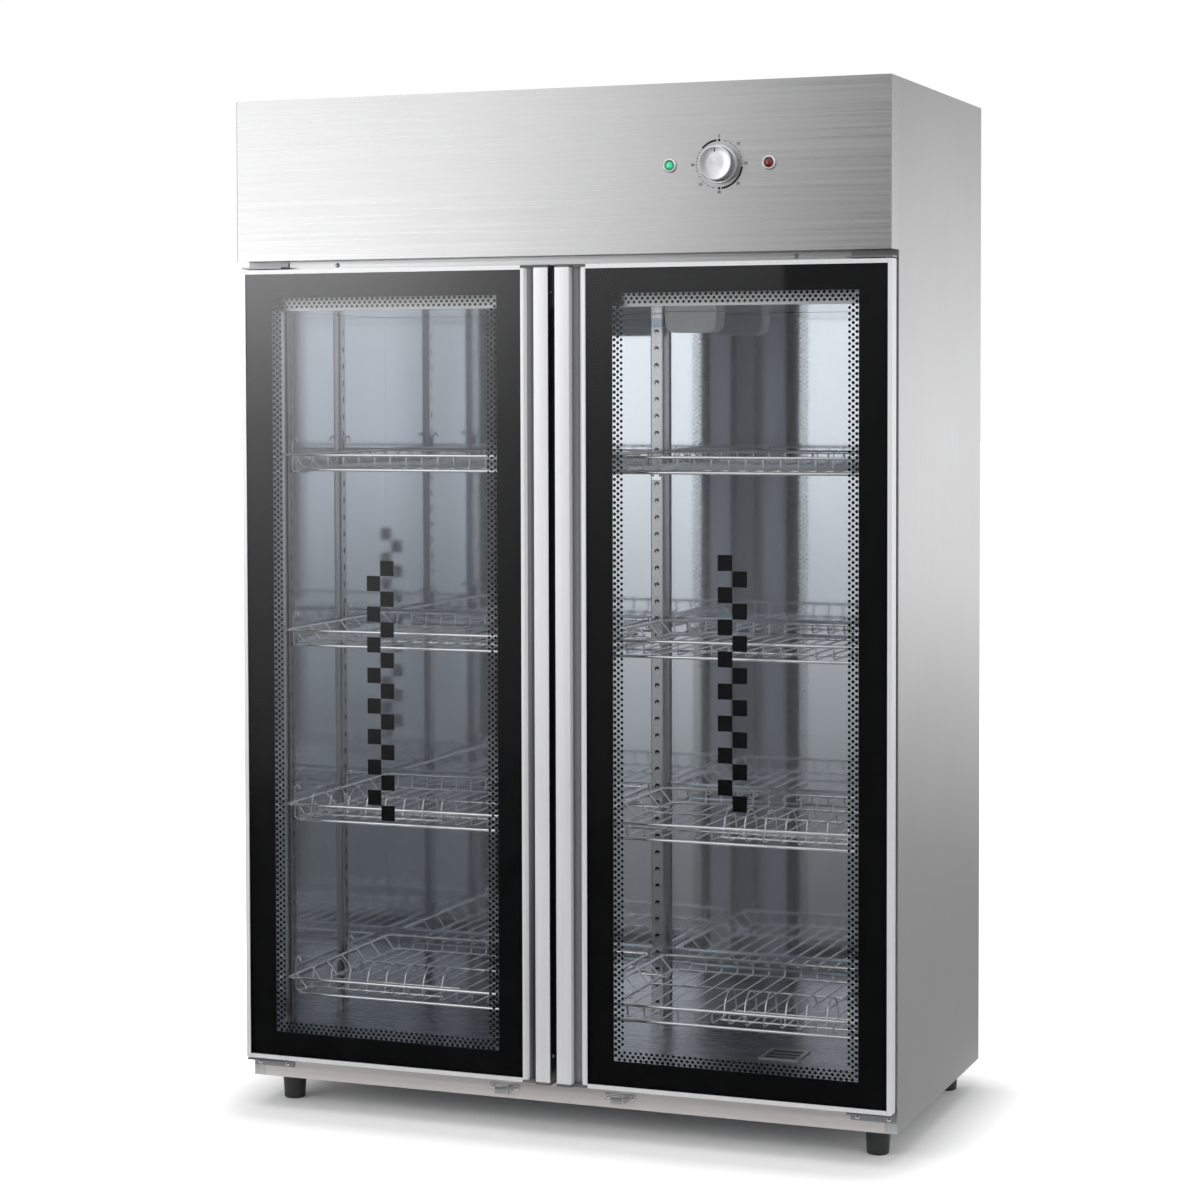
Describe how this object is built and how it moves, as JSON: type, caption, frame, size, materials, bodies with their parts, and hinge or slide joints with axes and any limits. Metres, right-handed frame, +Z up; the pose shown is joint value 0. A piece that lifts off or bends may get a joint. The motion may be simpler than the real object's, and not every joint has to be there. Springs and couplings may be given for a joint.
{
  "type": "dish sterilizer cabinet",
  "caption": "Tall free-standing stainless steel dish sterilizer cabinet with glazed hinged doors, wire racks, a timer knob, indicator lamps and short black feet.",
  "frame": {"origin": "on the floor, at the centre of the overall outline, knob included", "axes": "+Z up, +Y from the doors to the back, +X to the right as seen from the front"},
  "size_m": [1.2, 0.645, 1.8],
  "materials": {
    "brushed_stainless": "satin, fine straight brushing",
    "polished_stainless": "bright polished sheet",
    "wire": "polished wire",
    "frame_aluminium": "satin anodised",
    "grey_plastic": "moulded grey",
    "door_glass": "clear tempered glass with a black printed border",
    "gasket_rubber": "soft grey seal",
    "black_plastic": "moulded black",
    "bright_screws": "bright plated",
    "knob_aluminium": "spun face",
    "green_lens": "translucent lens",
    "red_lens": "translucent lens",
    "uv_glass": "clear tube",
    "white_plastic": "moulded white",
    "dark_metal": "plain"
  },
  "bodies": {
    "cabinet": {"air_heater": "dark_metal", "back_panel": "brushed_stainless", "base_pan": "brushed_stainless", "body_screws": "bright_screws", "bottom_rail": "brushed_stainless", "cable_gland": "black_plastic", "centre_brackets": "wire", "door_catches": "brushed_stainless", "drying_lamp": "green_lens", "fan_housing": "black_plastic", "feet": "black_plastic", "floor_vent_grille": "brushed_stainless", "front_centre_post": "brushed_stainless", "header_fascia": "brushed_stainless", "hinge_brackets": "brushed_stainless", "lamp_ballast": "white_plastic", "lamp_bezels": "bright_screws", "liner_back": "polished_stainless", "liner_ceiling": "polished_stainless", "liner_floor": "polished_stainless", "liner_side_left": "polished_stainless", "liner_side_right": "polished_stainless", "pilasters_left": "polished_stainless", "pilasters_right": "polished_stainless", "plate_dividers_left": "wire", "plate_dividers_right": "wire", "rack_1_left": "wire", "rack_1_right": "wire", "rack_2_left": "wire", "rack_2_right": "wire", "rack_3_left": "wire", "rack_3_right": "wire", "rack_4_left": "wire", "rack_4_right": "wire", "rack_clips": "wire", "rear_centre_channel": "polished_stainless", "side_panel_left": "brushed_stainless", "side_panel_right": "brushed_stainless", "sterilizing_lamp": "red_lens", "timer_unit": "black_plastic", "top_panel": "brushed_stainless", "top_rail": "brushed_stainless", "uv_lamp_holders": "white_plastic", "uv_tube": "uv_glass"},
    "left_door": {"handle_stile_left": "frame_aluminium", "handle_end_caps_left": "grey_plastic", "hinge_stile_left": "frame_aluminium", "door_rails_left": "frame_aluminium", "door_glass_left": "door_glass", "door_gasket_left": "gasket_rubber", "hinge_bushes_left": "black_plastic"},
    "right_door": {"handle_stile_right": "frame_aluminium", "handle_end_caps_right": "grey_plastic", "hinge_stile_right": "frame_aluminium", "door_rails_right": "frame_aluminium", "door_glass_right": "door_glass", "door_gasket_right": "gasket_rubber", "hinge_bushes_right": "black_plastic"},
    "timer_dial": {"timer_knob": "knob_aluminium"},
    "air_fan": {"fan_impeller": "black_plastic"}
  },
  "joints": [
    {"name": "left_door_hinge", "type": "hinge", "parent": "cabinet", "child": "left_door", "pos_m": [-0.588, -0.2725, 0.8], "axis": [0, 0, -1], "range_deg": [0, 110]},
    {"name": "right_door_hinge", "type": "hinge", "parent": "cabinet", "child": "right_door", "pos_m": [0.588, -0.2725, 0.8], "axis": [0, 0, 1], "range_deg": [0, 110]},
    {"name": "timer_turn", "type": "hinge", "parent": "cabinet", "child": "timer_dial", "pos_m": [0.3045, -0.31, 1.6625], "axis": [0, 1, 0], "range_deg": [0, 330]},
    {"name": "fan_spin", "type": "hinge", "parent": "cabinet", "child": "air_fan", "pos_m": [0.325, 0.0005, 0.063], "axis": [0, 0, 1], "continuous": true}
  ]
}
